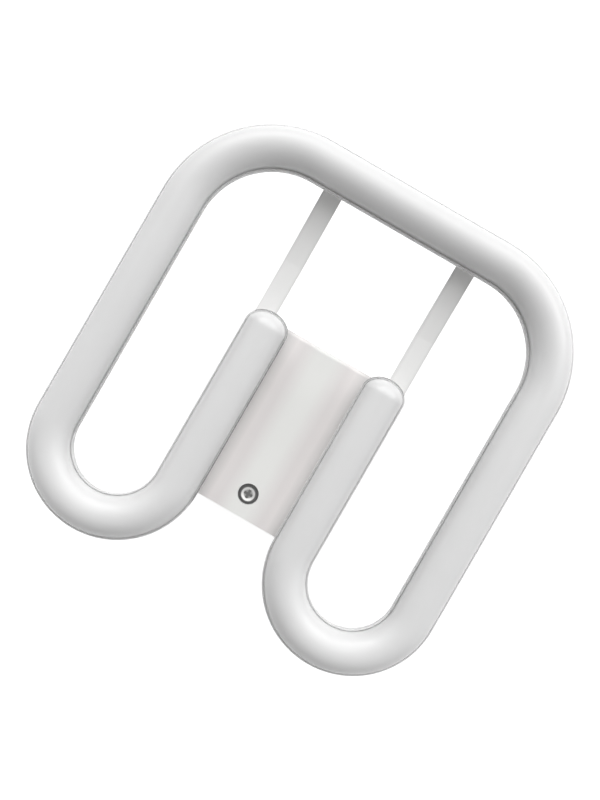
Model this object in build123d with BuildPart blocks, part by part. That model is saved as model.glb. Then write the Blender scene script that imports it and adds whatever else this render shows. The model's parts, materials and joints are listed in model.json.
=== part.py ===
"""Square LED lamp: a bent opal tube on a white sheet carrier, with a four-pin cap behind its middle.

Frame: millimetres, origin on the cap's seating face, at the middle of the four pins.
+Z points to the light side, +Y along the inner legs to the tube's top run, +X to the right.
"""

import os
from math import atan2, degrees, radians, sqrt, tan

from build123d import *

# Tube: its outline, seen from the light side
overall_width = 138.0
overall_length = 141.4
tube_diameter = 14.05
tube_wall = 1.0
corner_radius = 30.9
inner_leg_spacing = 41.0
cap_to_top_run = 78.3
cap_to_leg_tip = 31.2
dome_height = 5.5

# Tube: its two halves
rim_width = 0.3
rim_height = 0.8
rim_gap = 0.4
bore_sides = 8
channel_depth = 3.5
lip_height = 1.0
foot_height = 2.7
foot_width = 6.4
foot_length = 50.0
hook_pitch = 32.0
hook_width = 4.0
hook_thickness = 1.4
hook_reach = 0.7
hook_height = 1.2
saddle_length = 8.0
saddle_drop = 0.4
wall_bite = 0.8

# Carrier sheet
sheet = 1.0
plate_length = 59.6
plate_inset = 0.15
arm_width = 6.5
arm_flat_reach = 18.7
arm_seat_before = 5.0
arm_seat_after = 4.0
arm_bend_radius = 6.0
fold_radius = 1.4
flange_height = 5.0
flange_relief = 1.0

# Cap housing
housing_margin = 1.2
housing_wall = 1.5
housing_corner = 4.0
housing_back_edge = 1.0
cap_floor = 1.5
post_height = 1.2
post_width = 3.0
post_inset = 2.6
boss_radius = 3.4
latch_length = 10.0
latch_height = 3.0
latch_depth = 0.8
latch_rise = 2.5
nib_length = 12.0
nib_height = 1.6
nib_below_plate = 2.2

# Contact pins
pin_diameter = 2.35
pin_spacing = 10.0
pin_length = 7.0
pin_tip_edge = 0.6
pin_tail_width = 1.4
pin_recess_width = 5.0
pin_recess_depth = 0.6
solder_height = 1.0

# Screws
cap_screw_from_plate_edge = 7.7
cap_screw_head_radius = 2.45
cap_screw_head_height = 1.0
cap_screw_shank_radius = 1.45
cap_screw_length = 6.5
cap_screw_cup_gap = 0.9
cap_screw_cup_depth = 1.6
washer_thickness = 0.8
tube_screw_head_radius = 2.0
tube_screw_head_height = 1.2
tube_screw_shank_radius = 1.1
tube_screw_length = 4.0
screw_dish_share = 0.52
screw_dish_depth = 0.3
cross_recess_share = 0.6
cross_recess_width_share = 0.18
cross_recess_depth_share = 0.8

# Light strips
led_board_thickness = 1.0
led_board_end_gap = 1.0
led_length = 3.5
led_width = 2.8
led_height = 0.7
led_pitch = 10.0
link_width = 1.2
link_thickness = 0.4
link_length = 5.0
link_spacing = 4.0

# Driver
driver_board_thickness = 1.2
driver_board_margin = 0.3
driver_board_corner = 2.0
component_room = 6.6
insulation = 0.4
insulation_margin = 0.5
capacitor_length = 12.0
capacitor_offset = (0.0, 10.3)
choke_width = 7.0
choke_core_radius = 2.6
choke_flange = 1.0
choke_offset = (-12.0, -13.7)
film_capacitor_length = 8.0
film_capacitor_width = 4.2
film_capacitor_edge = 0.5
film_capacitor_offset = (11.5, -13.7)
rectifier_length = 5.0
rectifier_width = 4.0
rectifier_height = 1.6
rectifier_offset = (-13.0, -0.7)
chip_length = 5.0
chip_width = 4.0
chip_height = 1.5
chip_offset = (13.0, -0.7)
chip_leg_pitch = 1.27
chip_leg_width = 0.5
chip_leg_reach = 1.0
chip_leg_height = 0.5
fuse_radius = 1.3
fuse_length = 6.5
fuse_lead_width = 0.6
fuse_lead_reach = 2.0
fuse_offset = (0.0, -16.7)

# Leads from the driver up into the inner legs
feed_lead_width = 4.0
feed_lead_thickness = 1.2
feed_lead_inset = 1.5
feed_lead_tip = 0.5

# Clearance of pieces that fit into each other
fit = 0.1

# Places of the tube's centre line
tube_radius = tube_diameter / 2
diffuser_inset = rim_width + rim_gap
diffuser_radius = tube_radius - diffuser_inset
bore_radius = diffuser_radius - tube_wall
inner_leg_x = inner_leg_spacing / 2
outer_leg_x = (overall_width - tube_diameter) / 2
u_bend_radius = (outer_leg_x - inner_leg_x) / 2
u_bend_x = (outer_leg_x + inner_leg_x) / 2
u_bend_y = cap_to_top_run + tube_diameter - overall_length + u_bend_radius
corner_x = outer_leg_x - corner_radius
corner_y = cap_to_top_run - corner_radius
leg_end_y = cap_to_leg_tip - dome_height

# Levels above the seating face
driver_board_bottom = cap_floor + post_height
driver_board_top = driver_board_bottom + driver_board_thickness
cap_depth = driver_board_top + component_room + insulation
plate_front = cap_depth + sheet
tube_z = plate_front + foot_height + tube_radius
channel_floor = tube_z - channel_depth
strip_surface = channel_floor + led_board_thickness
arm_seat_front = tube_z - tube_radius - saddle_drop
foot_top = channel_floor - wall_bite

# Sizes that follow from what they fit
channel_width = 2 * sqrt(bore_radius**2 - channel_depth**2)
led_board_width = channel_width - 2 * fit
rim_inside = tube_diameter - 2 * rim_width
lip_outside = 2 * (bore_radius - lip_height * tan(radians(180 / bore_sides)) - fit)
plate_width = inner_leg_spacing + tube_diameter - 2 * plate_inset
plate_end = plate_length / 2
arm_x = (plate_width - arm_width) / 2
arm_bend_y = plate_end + arm_flat_reach
arm_rise_end = cap_to_top_run - arm_seat_before
flange_width = plate_width - 2 * arm_width - 2 * flange_relief
housing_width = plate_width - 2 * housing_margin
housing_length = plate_length - 2 * (sheet + fit)
cavity_width = housing_width - 2 * housing_wall
cavity_length = housing_length - 2 * housing_wall
cap_screw_y = cap_screw_from_plate_edge - plate_end
cup_radius = cap_screw_head_radius + cap_screw_cup_gap
cup_floor = plate_front - cap_screw_cup_depth
cup_bottom = cup_floor - sheet
cap_screw_seat = cup_floor + washer_thickness
nib_depth = plate_end - fit - (housing_length - housing_wall) / 2
driver_board_width = cavity_width - 2 * driver_board_margin
driver_board_start = cap_screw_y + max(boss_radius, cup_radius + sheet) + driver_board_margin
driver_board_end = cavity_length / 2 - driver_board_margin
driver_board_length = driver_board_end - driver_board_start
driver_board_y = (driver_board_start + driver_board_end) / 2
capacitor_radius = (component_room - 3 * fit) / 2
tall_component = component_room - 3 * fit
insulation_gap = max(hook_width, feed_lead_width) / 2 + insulation_margin
insulation_width = 2 * (inner_leg_x - insulation_gap)
feed_lead_y = leg_end_y - led_board_end_gap - feed_lead_inset

# Places that repeat
leg_sides = (inner_leg_x, -inner_leg_x)
leg_tips = [(x, leg_end_y) for x in leg_sides]
foot_places = [(x, 0) for x in leg_sides]
hook_places = [(x, side * hook_pitch / 2) for x in leg_sides for side in (-1, 1)]
hook_lip_places = [(x, side * (hook_pitch + hook_reach) / 2) for x in leg_sides for side in (-1, 1)]
saddle_places = [(side * arm_x, cap_to_top_run) for side in (-1, 1)]
feed_lead_places = [(x, feed_lead_y) for x in leg_sides]
pin_places = [(x * pin_spacing / 2, y * pin_spacing / 2) for x in (-1, 1) for y in (-1, 1)]
post_x = driver_board_width / 2 - post_inset
post_places = [
    (side * post_x, y)
    for side in (-1, 1)
    for y in (driver_board_start + post_inset, driver_board_end - post_inset)
]

# Centre lines of the tube and of the three light strips
with BuildLine(Plane.XY.offset(tube_z)) as tube_line:
    Line((inner_leg_x, leg_end_y), (inner_leg_x, u_bend_y))
    CenterArc((u_bend_x, u_bend_y), u_bend_radius, 180, 180)
    Line((outer_leg_x, u_bend_y), (outer_leg_x, corner_y))
    CenterArc((corner_x, corner_y), corner_radius, 0, 90)
    Line((corner_x, cap_to_top_run), (0, cap_to_top_run))
    mirror(about=Plane.YZ)

with BuildLine(Plane.XY.offset(channel_floor)) as right_strip_line:
    Line((inner_leg_x, leg_end_y - led_board_end_gap), (inner_leg_x, u_bend_y))
    CenterArc((u_bend_x, u_bend_y), u_bend_radius, 180, 180)
    Line((outer_leg_x, u_bend_y), (outer_leg_x, corner_y - led_board_end_gap))

with BuildLine(Plane.XY.offset(channel_floor)) as left_strip_line:
    mirror(right_strip_line.line, about=Plane.YZ)

with BuildLine(Plane.XY.offset(channel_floor)) as top_strip_line:
    CenterArc((corner_x, corner_y), corner_radius, 0, 90)
    Line((corner_x, cap_to_top_run), (-corner_x, cap_to_top_run))
    CenterArc((-corner_x, corner_y), corner_radius, 90, 90)

# Section of the tube at the tip of the right inner leg, with local Y along +Z
leg_section = Plane(origin=(inner_leg_x, leg_end_y, tube_z), x_dir=(1, 0, 0), z_dir=(0, -1, 0))


def dome_face(leg_x, inset=0.0):
    """Quarter ellipse beside a leg's axis, to be turned into half of its domed end."""
    radius = tube_radius - inset
    height = dome_height - inset
    with BuildLine() as outline:
        Line((leg_x, leg_end_y), (leg_x + radius, leg_end_y))
        EllipticalCenterArc((leg_x, leg_end_y), radius, height, start_angle=0, arc_size=90)
        Line((leg_x, leg_end_y + height), (leg_x, leg_end_y))
    make_face(outline.edges())


def leg_axis(leg_x, direction):
    """Axis of an inner leg, pointing so that a half turn sweeps the wanted side."""
    return Axis((leg_x, leg_end_y, tube_z), (0, direction, 0))


def screw_profile(head_radius, head_height, shank_radius, length):
    """Half outline of a screw with a dished head that stands on the plane's X axis."""
    dish_floor = head_height - screw_dish_depth
    with BuildLine() as outline:
        Polyline(
            (0, dish_floor),
            (0, -length),
            (shank_radius, -length),
            (shank_radius, 0),
            (head_radius, 0),
            (head_radius, head_height),
            (head_radius * screw_dish_share, dish_floor),
            close=True,
        )
    make_face(outline.edges())


def cross_recess(head_radius):
    """Two crossed bars, the mouth of a screw head's recess."""
    reach = 2 * head_radius * cross_recess_share
    width = 2 * head_radius * cross_recess_width_share
    Rectangle(reach, width)
    Rectangle(width, reach)


def folded_strip(stations, radius):
    """Side view of a strip of the sheet: its front line through the stations, and its back line."""
    with BuildLine() as outline:
        FilletPolyline(*stations, radius=radius)
        offset(amount=sheet, side=Side.RIGHT)
    make_face(outline.edges())


def strip_places(strip, pitch):
    """Places along a light strip, at about the pitch, each turned along the strip."""
    count = int(strip.length // pitch)
    places = []
    for index in range(count):
        share = (index + 0.5) / count
        along = strip % share
        places.append(Location(strip @ share, (0, 0, degrees(atan2(along.Y, along.X)))))
    return places


# Front half of the tube: an opal shell inside the housing's rim, with a domed end on each inner leg
with BuildPart() as diffuser:
    with BuildSketch(leg_section):
        Circle(diffuser_radius)
        RegularPolygon(bore_radius, bore_sides, mode=Mode.SUBTRACT)
        Rectangle(tube_diameter, tube_radius, align=(Align.CENTER, Align.MIN), mode=Mode.INTERSECT)
    sweep(path=tube_line.line)
    for leg_x in leg_sides:
        with BuildSketch(Plane.XY.offset(tube_z)):
            dome_face(leg_x, diffuser_inset)
        revolve(axis=leg_axis(leg_x, -1), revolution_arc=180)
diffuser.part.label = "diffuser"

# Rear half of the tube: a rim round the diffuser, a channel between lips, hooked feet and saddles
with BuildPart() as rear_housing:
    with BuildSketch(leg_section):
        Circle(tube_radius)
        Rectangle(tube_diameter, tube_radius, align=(Align.CENTER, Align.MAX), mode=Mode.INTERSECT)
        Rectangle(tube_diameter, rim_height, align=(Align.CENTER, Align.MIN))
        Rectangle(rim_inside, rim_height, align=(Align.CENTER, Align.MIN), mode=Mode.SUBTRACT)
        Rectangle(lip_outside, lip_height, align=(Align.CENTER, Align.MIN))
        Rectangle(channel_width, 2 * channel_depth, mode=Mode.SUBTRACT)
    sweep(path=tube_line.line)
    for leg_x in leg_sides:
        with BuildSketch(Plane.XY.offset(tube_z)):
            dome_face(leg_x)
        revolve(axis=leg_axis(leg_x, 1), revolution_arc=180)
    with BuildSketch(Plane.XY.offset(tube_z)):
        with Locations(*leg_tips):
            Ellipse(tube_radius, dome_height)
            Ellipse(tube_radius - rim_width, dome_height - rim_width, mode=Mode.SUBTRACT)
        with Locations((0, leg_end_y)):
            Rectangle(
                overall_width, dome_height, align=(Align.CENTER, Align.MIN), mode=Mode.INTERSECT
            )
    extrude(amount=rim_height)
    with BuildSketch(Plane.XY.offset(plate_front)):
        with Locations(*foot_places):
            Rectangle(foot_width, foot_length)
    extrude(amount=foot_top - plate_front)
    with BuildSketch(Plane.XY.offset(plate_front)):
        with Locations(*hook_places):
            Rectangle(hook_width, hook_thickness)
    extrude(amount=-sheet)
    with BuildSketch(Plane.XY.offset(cap_depth)):
        with Locations(*hook_lip_places):
            Rectangle(hook_width, hook_thickness + hook_reach)
    extrude(amount=-hook_height)
    with BuildSketch(Plane.XY.offset(arm_seat_front)):
        with Locations(*saddle_places):
            Rectangle(arm_width, saddle_length)
    extrude(amount=foot_top - arm_seat_front)
    with BuildSketch(Plane.XY.offset(arm_seat_front)):
        with Locations(*saddle_places):
            Circle(tube_screw_shank_radius + fit)
    extrude(amount=tube_screw_length - sheet + fit, mode=Mode.SUBTRACT)
    with BuildSketch(Plane.XY.offset(plate_front)):
        with Locations(*feed_lead_places):
            Rectangle(feed_lead_width + 2 * fit, feed_lead_thickness + 2 * fit)
    extrude(amount=channel_floor - plate_front, mode=Mode.SUBTRACT)
rear_housing.part.label = "rear_housing"

# Carrier: a plate under the inner legs, a folded top edge, and two arms that rise to the top run
with BuildPart() as carrier_bracket:
    with BuildSketch(Plane.XY.offset(cap_depth)):
        Rectangle(plate_width, plate_length - 2 * fold_radius)
    extrude(amount=sheet)
    with BuildSketch(Plane.YZ):
        folded_strip(
            [(-plate_end, plate_front), (plate_end, plate_front), (plate_end, plate_front - flange_height)],
            fold_radius,
        )
    extrude(amount=flange_width / 2, both=True)
    for side in (-1, 1):
        with BuildSketch(Plane.YZ.offset(side * arm_x)):
            folded_strip(
                [
                    (-plate_end, plate_front),
                    (arm_bend_y, plate_front),
                    (arm_rise_end, arm_seat_front),
                    (cap_to_top_run + arm_seat_after, arm_seat_front),
                ],
                arm_bend_radius,
            )
        extrude(amount=arm_width / 2, both=True)
    with BuildSketch(Plane.XY.offset(plate_front)):
        with Locations((0, cap_screw_y)):
            Circle(cup_radius + sheet)
    extrude(amount=cup_bottom - plate_front)
    with BuildSketch(Plane.XY.offset(plate_front)):
        with Locations((0, cap_screw_y)):
            Circle(cup_radius)
    extrude(amount=cup_floor - plate_front, mode=Mode.SUBTRACT)
    with BuildSketch(Plane.XY.offset(cup_floor)):
        with Locations((0, cap_screw_y)):
            Circle(cap_screw_shank_radius + fit)
    extrude(amount=-sheet, mode=Mode.SUBTRACT)
    with BuildSketch(Plane.XY.offset(cap_depth)):
        with Locations(*hook_places):
            Rectangle(hook_width + 2 * fit, hook_thickness + 2 * fit)
        with Locations(*feed_lead_places):
            Rectangle(feed_lead_width + 2 * fit, feed_lead_thickness + 2 * fit)
    extrude(amount=sheet, mode=Mode.SUBTRACT)
    with BuildSketch(Plane.XY.offset(arm_seat_front)):
        with Locations(*saddle_places):
            Circle(tube_screw_shank_radius + fit)
    extrude(amount=-sheet, mode=Mode.SUBTRACT)
    with BuildSketch(Plane.XZ.offset(-plate_end)):
        with Locations((0, cap_depth - nib_below_plate)):
            Rectangle(nib_length + 2 * fit, nib_height + 2 * fit)
    extrude(amount=sheet, mode=Mode.SUBTRACT)
carrier_bracket.part.label = "carrier_bracket"

# Cap housing: a box behind the plate, with a screw boss, board posts, a nib, and pin and latch recesses
with BuildPart() as cap_housing:
    with BuildSketch():
        RectangleRounded(housing_width, housing_length, housing_corner)
    extrude(amount=cap_depth)
    chamfer(cap_housing.faces().sort_by(Axis.Z)[0].edges(), length=housing_back_edge)
    chamfer(cap_housing.faces().sort_by(Axis.Z)[-1].edges(), length=fold_radius - sheet + fit)
    with BuildSketch(Plane.XY.offset(cap_floor)):
        RectangleRounded(cavity_width, cavity_length, housing_corner - housing_wall)
    extrude(amount=cap_depth - cap_floor, mode=Mode.SUBTRACT)
    with BuildSketch(Plane.XY.offset(cap_floor)):
        with Locations((0, cap_screw_y)):
            Circle(boss_radius)
    extrude(amount=cup_bottom - cap_floor)
    with BuildSketch(Plane.XY.offset(cap_floor)):
        with Locations(*post_places):
            Rectangle(post_width, post_width)
    extrude(amount=post_height)
    with BuildSketch(Plane.XY.offset(cup_bottom)):
        with Locations((0, cap_screw_y)):
            Circle(cap_screw_shank_radius + fit)
    extrude(amount=cap_floor - cup_bottom, mode=Mode.SUBTRACT)
    with BuildSketch():
        with Locations(*pin_places):
            Rectangle(pin_tail_width + 2 * fit, pin_tail_width + 2 * fit)
    extrude(amount=cap_floor, mode=Mode.SUBTRACT)
    with BuildSketch():
        with Locations(*pin_places):
            Rectangle(pin_recess_width, pin_recess_width)
    extrude(amount=pin_recess_depth, mode=Mode.SUBTRACT)
    with Locations(
        (housing_width / 2, 0, latch_rise + latch_height / 2),
        (-housing_width / 2, 0, latch_rise + latch_height / 2),
    ):
        Box(2 * latch_depth, latch_length, latch_height, mode=Mode.SUBTRACT)
    with Locations((0, (housing_length - housing_wall) / 2, cap_depth - nib_below_plate)):
        Box(
            nib_length,
            nib_depth,
            nib_height,
            align=(Align.CENTER, Align.MIN, Align.CENTER),
        )
cap_housing.part.label = "cap_housing"

# Four contact pins: round from the recess in the cap's face, with a square tail through to the board
with BuildPart() as contact_pins:
    with BuildSketch(Plane.XY.offset(pin_recess_depth)):
        with Locations(*pin_places):
            Circle(pin_diameter / 2)
    extrude(amount=-pin_length - pin_recess_depth)
    chamfer(contact_pins.edges().group_by(Axis.Z)[0], length=pin_tip_edge)
    with BuildSketch(Plane.XY.offset(pin_recess_depth)):
        with Locations(*pin_places):
            Rectangle(pin_tail_width, pin_tail_width)
    extrude(amount=driver_board_top + solder_height - pin_recess_depth)
contact_pins.part.label = "contact_pins"

# Sealing washer in the plate's cup, and the cross-head screw on it
with BuildPart() as screw_washer:
    with BuildSketch(Plane.XY.offset(cup_floor)):
        with Locations((0, cap_screw_y)):
            Circle(cup_radius - fit)
            Circle(cap_screw_shank_radius + fit, mode=Mode.SUBTRACT)
    extrude(amount=washer_thickness)
screw_washer.part.label = "screw_washer"

with BuildPart() as cap_screw:
    with BuildSketch(Plane((0, cap_screw_y, cap_screw_seat), x_dir=(1, 0, 0), z_dir=(0, -1, 0))):
        screw_profile(
            cap_screw_head_radius, cap_screw_head_height, cap_screw_shank_radius, cap_screw_length
        )
    revolve(axis=Axis((0, cap_screw_y, 0), (0, 0, 1)))
    with BuildSketch(Plane.XY.offset(cap_screw_seat + cap_screw_head_height)):
        with Locations((0, cap_screw_y)):
            cross_recess(cap_screw_head_radius)
    extrude(amount=-cap_screw_head_height * cross_recess_depth_share, mode=Mode.SUBTRACT)
cap_screw.part.label = "cap_screw"

# Two small screws that hold the tube's top run from behind the arms
with BuildPart() as tube_screw:
    with BuildSketch(Plane.XZ):
        screw_profile(
            tube_screw_head_radius, tube_screw_head_height, tube_screw_shank_radius, tube_screw_length
        )
    revolve(axis=Axis.Z)
    with BuildSketch(Plane.XY.offset(tube_screw_head_height)):
        cross_recess(tube_screw_head_radius)
    extrude(amount=-tube_screw_head_height * cross_recess_depth_share, mode=Mode.SUBTRACT)

with BuildPart() as tube_screws:
    with Locations(*[Location((x, y, arm_seat_front - sheet), (180, 0, 0)) for x, y in saddle_places]):
        add(tube_screw.part)
tube_screws.part.label = "tube_screws"

# Strips that carry the diodes round the tube: one up each side and one across the top
with BuildPart() as led_board_right:
    with BuildSketch(Plane.XY.offset(channel_floor)):
        trace(right_strip_line.line, line_width=led_board_width)
        with Locations(*feed_lead_places):
            Rectangle(feed_lead_width + 2 * fit, feed_lead_thickness + 2 * fit, mode=Mode.SUBTRACT)
    extrude(amount=led_board_thickness)
led_board_right.part.label = "led_board_right"

with BuildPart() as led_board_left:
    mirror(led_board_right.part, about=Plane.YZ)
led_board_left.part.label = "led_board_left"

with BuildPart() as led_board_top:
    with BuildSketch(Plane.XY.offset(channel_floor)):
        trace(top_strip_line.line, line_width=led_board_width)
    extrude(amount=led_board_thickness)
led_board_top.part.label = "led_board_top"

# Diodes, one row along the middle of each strip
strips = (left_strip_line.wire(), right_strip_line.wire(), top_strip_line.wire())
led_places = [place for strip in strips for place in strip_places(strip, led_pitch)]
with BuildPart() as leds:
    with Locations((0, 0, led_board_thickness)):
        with Locations(*led_places):
            Box(led_length, led_width, led_height, align=(Align.CENTER, Align.CENTER, Align.MIN))
leds.part.label = "leds"

# Flat links across the gaps between neighbouring strips
link_places = [
    (side * outer_leg_x + row * link_spacing / 2, corner_y) for side in (-1, 1) for row in (-1, 1)
]
with BuildPart() as board_links:
    with BuildSketch(Plane.XY.offset(strip_surface)):
        with Locations(*link_places):
            Rectangle(link_width, link_length)
    extrude(amount=link_thickness)
board_links.part.label = "board_links"


def on_board(offset_from_middle):
    """Point on the driver board's top face."""
    return (offset_from_middle[0], driver_board_y + offset_from_middle[1], driver_board_top)


# Driver board on the cap's posts
with BuildPart() as driver_board:
    with BuildSketch(Plane.XY.offset(driver_board_bottom)) as board_outline:
        with Locations((0, driver_board_y)):
            Rectangle(driver_board_width, driver_board_length)
        chamfer(board_outline.vertices(), length=driver_board_corner)
        with Locations(*pin_places):
            Rectangle(pin_tail_width + 2 * fit, pin_tail_width + 2 * fit, mode=Mode.SUBTRACT)
    extrude(amount=driver_board_thickness)
driver_board.part.label = "driver_board"

# Smoothing capacitor, lying on the board
with BuildPart() as buffer_capacitor:
    with Locations(on_board(capacitor_offset)):
        with Locations(Location((0, 0, capacitor_radius), (0, 90, 0))):
            Cylinder(capacitor_radius, capacitor_length)
buffer_capacitor.part.label = "buffer_capacitor"

# Drum-cored choke with square flanges, standing on the board
with BuildPart() as filter_choke:
    with Locations(on_board(choke_offset)):
        Cylinder(choke_core_radius, tall_component, align=(Align.CENTER, Align.CENTER, Align.MIN))
        for level in (0, tall_component - choke_flange):
            with Locations((0, 0, level)):
                Box(
                    choke_width,
                    choke_width,
                    choke_flange,
                    align=(Align.CENTER, Align.CENTER, Align.MIN),
                )
filter_choke.part.label = "filter_choke"

# Film capacitor, a cast block
with BuildPart() as film_capacitor:
    with Locations(on_board(film_capacitor_offset)):
        Box(
            film_capacitor_length,
            film_capacitor_width,
            tall_component,
            align=(Align.CENTER, Align.CENTER, Align.MIN),
        )
    chamfer(film_capacitor.edges().filter_by(Axis.Z), length=film_capacitor_edge)
film_capacitor.part.label = "film_capacitor"


def chip_body(offset_from_middle, length, width, height, rows):
    """Flat moulded package with a row of legs along each long side."""
    first = -(rows - 1) / 2 * chip_leg_pitch
    with Locations(on_board(offset_from_middle)):
        Box(length, width, height, align=(Align.CENTER, Align.CENTER, Align.MIN))
        for row in range(rows):
            with Locations((first + row * chip_leg_pitch, 0)):
                Box(
                    chip_leg_width,
                    width + 2 * chip_leg_reach,
                    chip_leg_height,
                    align=(Align.CENTER, Align.CENTER, Align.MIN),
                )


# Bridge rectifier and driver chip
with BuildPart() as bridge_rectifier:
    chip_body(rectifier_offset, rectifier_length, rectifier_width, rectifier_height, 2)
bridge_rectifier.part.label = "bridge_rectifier"

with BuildPart() as driver_chip:
    chip_body(chip_offset, chip_length, chip_width, chip_height, 4)
driver_chip.part.label = "driver_chip"

# Fusible resistor, lying on the board with its leads beside it
with BuildPart() as fuse_resistor:
    with Locations(on_board(fuse_offset)):
        with Locations(Location((0, 0, fuse_radius), (0, 90, 0))):
            Cylinder(fuse_radius, fuse_length)
            Box(fuse_lead_width, fuse_lead_width, fuse_length + 2 * fuse_lead_reach)
fuse_resistor.part.label = "fuse_resistor"

# Insulating sheet on the back of the plate
with BuildPart() as insulating_sheet:
    with BuildSketch(Plane.XY.offset(cap_depth - insulation)):
        with Locations((0, driver_board_y)):
            Rectangle(insulation_width, driver_board_length)
    extrude(amount=insulation)
insulating_sheet.part.label = "insulating_sheet"

# Flat leads from the driver board, through the plate and the tube's feet, to the side strips
with BuildPart() as feed_leads:
    with BuildSketch(Plane.XY.offset(driver_board_top)):
        with Locations(*feed_lead_places):
            SlotOverall(feed_lead_width, feed_lead_thickness)
    extrude(amount=strip_surface + feed_lead_tip - driver_board_top)
feed_leads.part.label = "feed_leads"

# One file for each piece
pieces = (
    diffuser,
    rear_housing,
    carrier_bracket,
    cap_housing,
    contact_pins,
    screw_washer,
    cap_screw,
    tube_screws,
    led_board_right,
    led_board_left,
    led_board_top,
    leds,
    board_links,
    driver_board,
    buffer_capacitor,
    filter_choke,
    film_capacitor,
    bridge_rectifier,
    driver_chip,
    fuse_resistor,
    insulating_sheet,
    feed_leads,
)
os.makedirs("parts", exist_ok=True)
for piece in pieces:
    export_step(piece.part, f"parts/{piece.part.label}.step")
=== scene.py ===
"""Looks of the square LED lamp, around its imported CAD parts. Metres, in the CAD frame."""
import json
import math

import bpy
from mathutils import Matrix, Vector


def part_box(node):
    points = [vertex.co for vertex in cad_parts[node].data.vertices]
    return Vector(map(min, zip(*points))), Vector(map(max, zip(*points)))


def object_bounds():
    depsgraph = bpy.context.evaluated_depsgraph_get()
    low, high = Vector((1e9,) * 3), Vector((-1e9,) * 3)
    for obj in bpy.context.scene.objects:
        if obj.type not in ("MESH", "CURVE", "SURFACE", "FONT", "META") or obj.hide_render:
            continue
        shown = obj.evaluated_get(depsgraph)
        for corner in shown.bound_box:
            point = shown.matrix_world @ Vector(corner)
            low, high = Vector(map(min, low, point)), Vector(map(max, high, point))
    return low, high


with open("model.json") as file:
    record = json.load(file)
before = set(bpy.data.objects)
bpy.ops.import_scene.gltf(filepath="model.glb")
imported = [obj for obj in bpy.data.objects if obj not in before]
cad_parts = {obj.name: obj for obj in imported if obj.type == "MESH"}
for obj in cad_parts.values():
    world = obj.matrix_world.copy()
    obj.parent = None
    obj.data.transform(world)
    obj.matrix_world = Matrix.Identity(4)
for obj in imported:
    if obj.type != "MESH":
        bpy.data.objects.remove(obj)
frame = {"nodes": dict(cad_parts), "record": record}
cad_low, cad_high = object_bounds()
nodes = frame["nodes"]

MM = 0.001

# Plastics: clouds in the colour, uneven gloss, and a grain of each plastic's own scale
plastic_ior = 1.58
cloud_scale = 60.0
cloud_low, cloud_high = 0.35, 0.65
gloss_scale = 25.0
gloss_swing = 0.02
grain_detail = 2.0

# Fine lines in metals and on the coated sheet
metal_spread = 0.06
line_detail = 4.0
line_roughness = 0.6
line_swing = 0.06
line_relief = 0.003 * MM

# Bands on the coated sheet waver by this much
waver = 0.5 * MM
waver_stretch = (130.0, 20.0, 130.0)

# Noise lies mostly between these two values
noise_low, noise_high = 0.3, 0.7


# Helpers for node trees

def linked_math(tree, operation, first, second=None):
    """The result of a math node on one value, or on two."""
    node = tree.nodes.new("ShaderNodeMath")
    node.operation = operation
    tree.links.new(first, node.inputs[0])
    if second is not None:
        tree.links.new(second, node.inputs[1])
    return node.outputs["Value"]


def spread_out(tree, value, from_low, from_high, low, high):
    """The value, brought from one range to another and kept inside it."""
    node = tree.nodes.new("ShaderNodeMapRange")
    node.inputs["From Min"].default_value = from_low
    node.inputs["From Max"].default_value = from_high
    node.inputs["To Min"].default_value = low
    node.inputs["To Max"].default_value = high
    tree.links.new(value, node.inputs["Value"])
    return node.outputs["Result"]


def multiplied(tree, first, second):
    """The product of a colour with another, or with a value."""
    node = tree.nodes.new("ShaderNodeVectorMath")
    node.operation = "MULTIPLY"
    tree.links.new(first, node.inputs[0])
    tree.links.new(second, node.inputs[1])
    return node.outputs["Vector"]


def axis_value(tree, coordinates, axis):
    """One axis of the object coordinates, in metres."""
    node = tree.nodes.new("ShaderNodeSeparateXYZ")
    tree.links.new(coordinates, node.inputs["Vector"])
    return node.outputs[axis]


def distance_from(tree, value, place):
    """How far a coordinate is from a place, up to one metre."""
    offset = spread_out(tree, value, place - 1.0, place + 1.0, -1.0, 1.0)
    return linked_math(tree, "ABSOLUTE", offset)


def stretched(tree, coordinates, scale):
    """Object coordinates scaled by a different amount along each axis, per metre."""
    node = tree.nodes.new("ShaderNodeMapping")
    node.inputs["Scale"].default_value = scale
    tree.links.new(coordinates, node.inputs["Vector"])
    return node.outputs["Vector"]


def noise(tree, vector, scale=1.0, detail=3.0, roughness=0.5):
    """A noise texture's value."""
    node = tree.nodes.new("ShaderNodeTexNoise")
    node.inputs["Scale"].default_value = scale
    node.inputs["Detail"].default_value = detail
    node.inputs["Roughness"].default_value = roughness
    tree.links.new(vector, node.inputs["Vector"])
    return node.outputs["Fac"]


def fine_lines(tree, coordinates, scale):
    """Noise drawn out into fine lines along the axis with the smallest scale."""
    return noise(tree, stretched(tree, coordinates, scale), detail=line_detail, roughness=line_roughness)


def ramp(tree, value, stops):
    """A colour ramp through the stops, each a place from low to high and a colour."""
    first, last = stops[0][0], stops[-1][0]
    node = tree.nodes.new("ShaderNodeValToRGB")
    elements = node.color_ramp.elements
    elements[0].color = (*stops[0][1], 1.0)
    elements[1].color = (*stops[-1][1], 1.0)
    for place, colour in stops[1:-1]:
        elements.new((place - first) / (last - first)).color = (*colour, 1.0)
    tree.links.new(spread_out(tree, value, first, last, 0.0, 1.0), node.inputs["Fac"])
    return node.outputs["Color"]


def bump(tree, shader, height, depth):
    """Relief of the given depth in metres on the shader's normal."""
    node = tree.nodes.new("ShaderNodeBump")
    node.inputs["Strength"].default_value = 1.0
    node.inputs["Distance"].default_value = depth
    tree.links.new(height, node.inputs["Height"])
    tree.links.new(node.outputs["Normal"], shader.inputs["Normal"])


def shade(colour, factor):
    """The colour made darker or lighter."""
    return tuple(min(1.0, channel * factor) for channel in colour)


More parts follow.
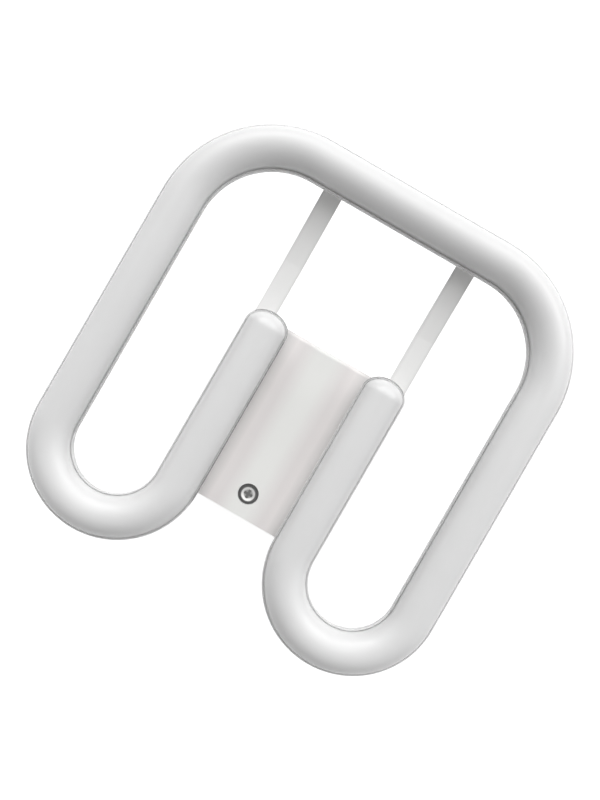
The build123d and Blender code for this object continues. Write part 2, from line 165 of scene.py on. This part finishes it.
def seen_rays(tree):
    """1 for camera rays and for those that gloss and glass send on, 0 for the rest."""
    path = tree.nodes.new("ShaderNodeLightPath")
    seen = path.outputs["Is Camera Ray"]
    for kind in ("Is Glossy Ray", "Is Transmission Ray"):
        seen = linked_math(tree, "MAXIMUM", seen, path.outputs[kind])
    return seen


# Materials

def new_material(name):
    """A node material with its tree, its shader and its object coordinates."""
    material = bpy.data.materials.new(name)
    material.use_nodes = True
    tree = material.node_tree
    shader = tree.nodes["Principled BSDF"]
    coordinates = tree.nodes.new("ShaderNodeTexCoord").outputs["Object"]
    return material, tree, shader, coordinates


def varied_roughness(tree, shader, value, roughness, swing):
    """Roughness that swings with a noise value."""
    varied = spread_out(tree, value, noise_low, noise_high, roughness - swing, roughness + swing)
    tree.links.new(varied, shader.inputs["Roughness"])


def moulded(name, colour, roughness, grain, relief, spread, subsurface=0.0, depth=0.0):
    """Moulded plastic: faint clouding, uneven gloss, a fine grain and, if asked, light that goes in."""
    material, tree, shader, coordinates = new_material(name)
    shader.inputs["IOR"].default_value = plastic_ior
    shader.inputs["Subsurface Weight"].default_value = subsurface
    shader.inputs["Subsurface Radius"].default_value = (1.0, 1.0, 1.0)
    shader.inputs["Subsurface Scale"].default_value = depth
    clouds = noise(tree, coordinates, cloud_scale)
    stops = [(cloud_low, shade(colour, 1.0 - spread)), (cloud_high, shade(colour, 1.0 + spread))]
    tree.links.new(ramp(tree, clouds, stops), shader.inputs["Base Color"])
    varied_roughness(tree, shader, noise(tree, coordinates, gloss_scale), roughness, gloss_swing)
    bump(tree, shader, noise(tree, coordinates, grain, detail=grain_detail), relief)
    return material


def drawn_metal(name, colour, roughness, stretch, painted_shades_by_height=None):
    """Metal with fine lines along the axis of least stretch, and painted shade at set heights if given."""
    material, tree, shader, coordinates = new_material(name)
    shader.inputs["Metallic"].default_value = 1.0
    lines = fine_lines(tree, coordinates, stretch)
    stops = [(noise_low, shade(colour, 1.0 - metal_spread)), (noise_high, shade(colour, 1.0 + metal_spread))]
    base = ramp(tree, lines, stops)
    if painted_shades_by_height:
        base = multiplied(tree, base, ramp(tree, axis_value(tree, coordinates, "Z"), painted_shades_by_height))
    tree.links.new(base, shader.inputs["Base Color"])
    varied_roughness(tree, shader, lines, roughness, line_swing)
    bump(tree, shader, lines, line_relief)
    return material


def coated_sheet(name, roughness, stretch, bands, fade):
    """Coat on sheet metal: wavering bands on both sides of the middle, some of them painted shade, and along
    Y a fade of painted light and shade and fine lines.
    """
    material, tree, shader, coordinates = new_material(name)
    uneven = noise(tree, stretched(tree, coordinates, waver_stretch), detail=grain_detail)
    shift = spread_out(tree, uneven, noise_low, noise_high, -waver, waver)
    from_middle = linked_math(tree, "ABSOLUTE", axis_value(tree, coordinates, "X"))
    band_colour = ramp(tree, linked_math(tree, "ADD", from_middle, shift), bands)
    fade_colour = ramp(tree, axis_value(tree, coordinates, "Y"), fade)
    tree.links.new(multiplied(tree, band_colour, fade_colour), shader.inputs["Base Color"])
    lines = fine_lines(tree, coordinates, stretch)
    varied_roughness(tree, shader, lines, roughness, line_swing)
    bump(tree, shader, lines, line_relief)
    return material


def shade_patches(material, patches, blend, level):
    """Shade above a level in patches with blended edges, each a middle, a half size and a factor."""
    tree = material.node_tree
    base = tree.nodes["Principled BSDF"].inputs["Base Color"]
    colour = base.links[0].from_socket
    coordinates = tree.nodes.new("ShaderNodeTexCoord").outputs["Object"]
    across, along, up = [axis_value(tree, coordinates, axis) for axis in "XYZ"]
    below = spread_out(tree, up, level - blend[0], level, 1.0, 0.0)
    for middle, half_size, factor in patches:
        outside = below
        for value, place, half, edge in zip((across, along), middle, half_size, blend):
            past_edge = spread_out(tree, distance_from(tree, value, place), half, half + edge, 0.0, 1.0)
            outside = linked_math(tree, "MAXIMUM", outside, past_edge)
        colour = multiplied(tree, colour, spread_out(tree, outside, 0.0, 1.0, factor, 1.0))
    tree.links.new(colour, base)


# Carrier: neutral in the middle, pinkish bands, shade next to the legs, and arms with darker edges
sheet_neutral = (0.890, 0.893, 0.873)
sheet_pink = (0.851, 0.821, 0.815)
sheet_pale_pink = (0.905, 0.872, 0.865)
sheet_shaded = (0.785, 0.765, 0.759)
arm_colour = (0.923, 0.921, 0.914)
arm_edge_colour = shade(arm_colour, 0.90)
arm_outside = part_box("carrier_bracket")[1].x
arm_width = 6.5 * MM
arm_inside = arm_outside - arm_width
arm_edge = 1.0 * MM
sheet_stretch = (900.0, 30.0, 900.0)
sheet_bands = [
    (2.5 * MM, sheet_neutral),
    (7.6 * MM, sheet_pink),
    (10.2 * MM, sheet_pale_pink),
    (12.8 * MM, sheet_shaded),
    (14.2 * MM, shade(sheet_shaded, 0.86)),
    (arm_inside, arm_edge_colour),
    (arm_inside + arm_edge, arm_colour),
    (arm_outside - arm_edge, arm_colour),
    (arm_outside, arm_edge_colour),
]
# Painted light and shade along Y: the carrier grows darker from the screw's end to the arms
fade_half = 28.0 * MM
sheet_painted_light_fade = [(-fade_half, (1.04,) * 3), (0.0, (0.965,) * 3), (fade_half, (0.895,) * 3)]

# Cap screw's painted shade by millimetres below its top: shank, recess, floor of the dish, bright slope and
# dark edge
bright = (1.0,) * 3
dull = (0.56,) * 3
dark = (0.28,) * 3
screw_depths = [
    (1.00, bright),
    (0.90, dark),
    (0.45, dark),
    (0.32, dull),
    (0.28, dull),
    (0.24, bright),
    (0.08, bright),
    (0.04, dark),
]
head_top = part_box("cap_screw")[1].z
screw_painted_shades = [(head_top - depth * MM, colour) for depth, colour in screw_depths]

# Plastics and coatings by slot: colour, roughness, grain per metre, relief and spread of the colour
plastics = {
    "cap_plastic": ((0.77, 0.77, 0.76), 0.55, 700.0, 0.008 * MM, 0.02),
    "seal_rubber": ((0.14, 0.14, 0.14), 0.65, 1500.0, 0.006 * MM, 0.10),
    "strip_board": ((0.84, 0.84, 0.82), 0.35, 1200.0, 0.002 * MM, 0.02),
    "diode": ((0.90, 0.78, 0.32), 0.45, 2500.0, 0.004 * MM, 0.06),
    "driver_laminate": ((0.05, 0.22, 0.10), 0.40, 1600.0, 0.003 * MM, 0.12),
    "capacitor_sleeve": ((0.035, 0.035, 0.045), 0.30, 800.0, 0.003 * MM, 0.20),
    "ferrite": ((0.08, 0.075, 0.075), 0.60, 2200.0, 0.010 * MM, 0.20),
    "film_coating": ((0.35, 0.06, 0.04), 0.35, 1000.0, 0.004 * MM, 0.10),
    "chip_moulding": ((0.04, 0.04, 0.042), 0.55, 3000.0, 0.006 * MM, 0.15),
    "resistor_coating": ((0.28, 0.42, 0.40), 0.45, 2000.0, 0.006 * MM, 0.10),
    "insulation_film": ((0.62, 0.60, 0.52), 0.30, 500.0, 0.002 * MM, 0.05),
    "wire_sleeve": ((0.55, 0.05, 0.05), 0.45, 1500.0, 0.003 * MM, 0.08),
}
# Plastics that light goes into, with its share and its depth as well
lit_plastics = {
    "opal_diffuser": ((0.75, 0.75, 0.75), 0.32, 900.0, 0.004 * MM, 0.008, 0.2, 1.5 * MM),
    "white_plastic": ((0.94, 0.94, 0.935), 0.50, 900.0, 0.004 * MM, 0.012, 1.0, 3.0 * MM),
}
# Metals by slot: colour, roughness and stretch of the lines, and for the screw its painted shades
metals = {
    "pin_metal": ((0.78, 0.66, 0.42), 0.28, (400.0, 400.0, 2500.0)),
    "link_wire": ((0.72, 0.70, 0.66), 0.35, (1500.0, 200.0, 1500.0)),
    "screw_steel": ((0.56, 0.56, 0.55), 0.34, (900.0, 900.0, 900.0), screw_painted_shades),
}

sheet_roughness = 0.38
materials = {
    "white_sheet": coated_sheet("white_sheet", sheet_roughness, sheet_stretch, sheet_bands, sheet_painted_light_fade)
}
for slot, values in {**plastics, **lit_plastics}.items():
    materials[slot] = moulded(slot, *values)
for slot, values in metals.items():
    materials[slot] = drawn_metal(slot, *values)

# Rim of the rear housing: shaded towards the plate, round the domes and along the inside of the square
rim_blend = (0.1 * MM, 2.0 * MM)
rim_half = 0.2 * MM
inner_leg_line = (rim_half, 28.2 * MM)
inner_leg_x, inner_leg_y = 13.62 * MM, -3.7 * MM
outer_leg_line = (rim_half, 39.0 * MM)
outer_leg_x, outer_leg_y = 55.10 * MM, 7.0 * MM
domes_size = (26.0 * MM, 2.7 * MM)
domes_y = 29.2 * MM
top_size = (55.3 * MM, 11.8 * MM)
top_y = 59.9 * MM
rim_shades = [
    ((-inner_leg_x, inner_leg_y), inner_leg_line, 0.15),
    ((inner_leg_x, inner_leg_y), inner_leg_line, 0.48),
    ((-outer_leg_x, outer_leg_y), outer_leg_line, 0.48),
    ((outer_leg_x, outer_leg_y), outer_leg_line, 0.52),
    ((0.0, domes_y), domes_size, 0.25),
    ((0.0, top_y), top_size, 0.50),
]
above_seam = 0.4 * MM
rim_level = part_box("diffuser")[0].z + above_seam
shade_patches(materials["white_plastic"], rim_shades, rim_blend, rim_level)

# Each CAD node wears the material of its slot in the record
for subpart in frame["record"]["subparts"]:
    mesh = nodes[subpart["node"]].data
    mesh.materials.clear()
    mesh.materials.append(materials[subpart["material_slot"]])

# Floor under the pins: it shades off towards the lamp and runs into the white background
floor_size = 6.0
floor_gap = 0.2 * MM
floor_grey = (0.55, 0.55, 0.55, 1.0)
floor_roughness = 0.9
white = (1.0, 1.0, 1.0, 1.0)
near, far = 0.3, 1.5
near_glow, far_glow = 0.82, 1.0
bpy.ops.mesh.primitive_plane_add(size=floor_size, location=(0, 0, cad_low.z - floor_gap))
floor = bpy.context.object
floor.name = "floor"
floor_material, floor_tree, floor_shader, floor_place = new_material("floor")
floor_shader.inputs["Base Color"].default_value = floor_grey
floor_shader.inputs["Roughness"].default_value = floor_roughness
floor_shader.inputs["Emission Color"].default_value = white
distance = floor_tree.nodes.new("ShaderNodeVectorMath")
distance.operation = "LENGTH"
floor_tree.links.new(floor_place, distance.inputs[0])
glow = spread_out(floor_tree, distance.outputs["Value"], near, far, near_glow, far_glow)
seen_glow = linked_math(floor_tree, "MULTIPLY", seen_rays(floor_tree), glow)
floor_tree.links.new(seen_glow, floor_shader.inputs["Emission Strength"])
floor.data.materials.append(floor_material)

# Even light from all round, white where the camera looks past the floor
world_light = 0.265
world = bpy.data.worlds.new("studio")
bpy.context.scene.world = world
world.use_nodes = True
world_tree = world.node_tree
background = world_tree.nodes["Background"]
background.inputs["Color"].default_value = white
world_level = spread_out(world_tree, seen_rays(world_tree), 0.0, 1.0, world_light, 1.0)
world_tree.links.new(world_level, background.inputs["Strength"])

# Soft boxes: name, azimuth from +Y towards +X, elevation and power, with a little more light from the left
lamp_distance = 3.0
lamp_width, lamp_height = 2.6, 1.6
lamp_aim = Vector((0.0, 12.0 * MM, 20.0 * MM))
left_share, right_share = 1.025, 0.975
lamps = [
    ("key", 30.0, 30.0, 35.0),
    ("top_light", 30.0, 60.0, 10.6),
    ("shoulder_light", 60.0, 45.0, 7.4),
    ("side_light", 90.0, 15.0, 8.2),
]


def soft_box(name, azimuth, elevation, power):
    """An area lamp that faces the lamp's middle from a set direction."""
    light = bpy.data.lights.new(name, "AREA")
    light.shape = "RECTANGLE"
    light.size = lamp_width
    light.size_y = lamp_height
    light.energy = power
    turn, rise = math.radians(azimuth), math.radians(elevation)
    towards = Vector((math.sin(turn) * math.cos(rise), math.cos(turn) * math.cos(rise), math.sin(rise)))
    holder = bpy.data.objects.new(name, light)
    bpy.context.scene.collection.objects.link(holder)
    holder.location = lamp_aim + towards * lamp_distance
    holder.rotation_mode = "QUATERNION"
    holder.rotation_quaternion = (-towards).to_track_quat("-Z", "Y")


for name, azimuth, elevation, power in lamps:
    soft_box(f"{name}_left", -azimuth, elevation, power * left_share)
    soft_box(f"{name}_right", azimuth, elevation, power * right_share)

# Camera straight above the light side, turned as in the photo
camera_turn = math.radians(30.0)
camera_place = (-0.68 * MM, 12.07 * MM, 228.43 * MM)
sensor_width = 36.0
focal_length = 30.6
nearest_seen = 10.0 * MM
camera_data = bpy.data.cameras.new("camera")
camera_data.sensor_width = sensor_width
camera_data.lens = focal_length
camera_data.clip_start = nearest_seen
camera = bpy.data.objects.new("camera", camera_data)
bpy.context.scene.collection.objects.link(camera)
camera.location = camera_place
camera.rotation_euler = (0.0, 0.0, camera_turn)
bpy.context.scene.camera = camera
bpy.context.scene.view_settings.view_transform = "Standard"
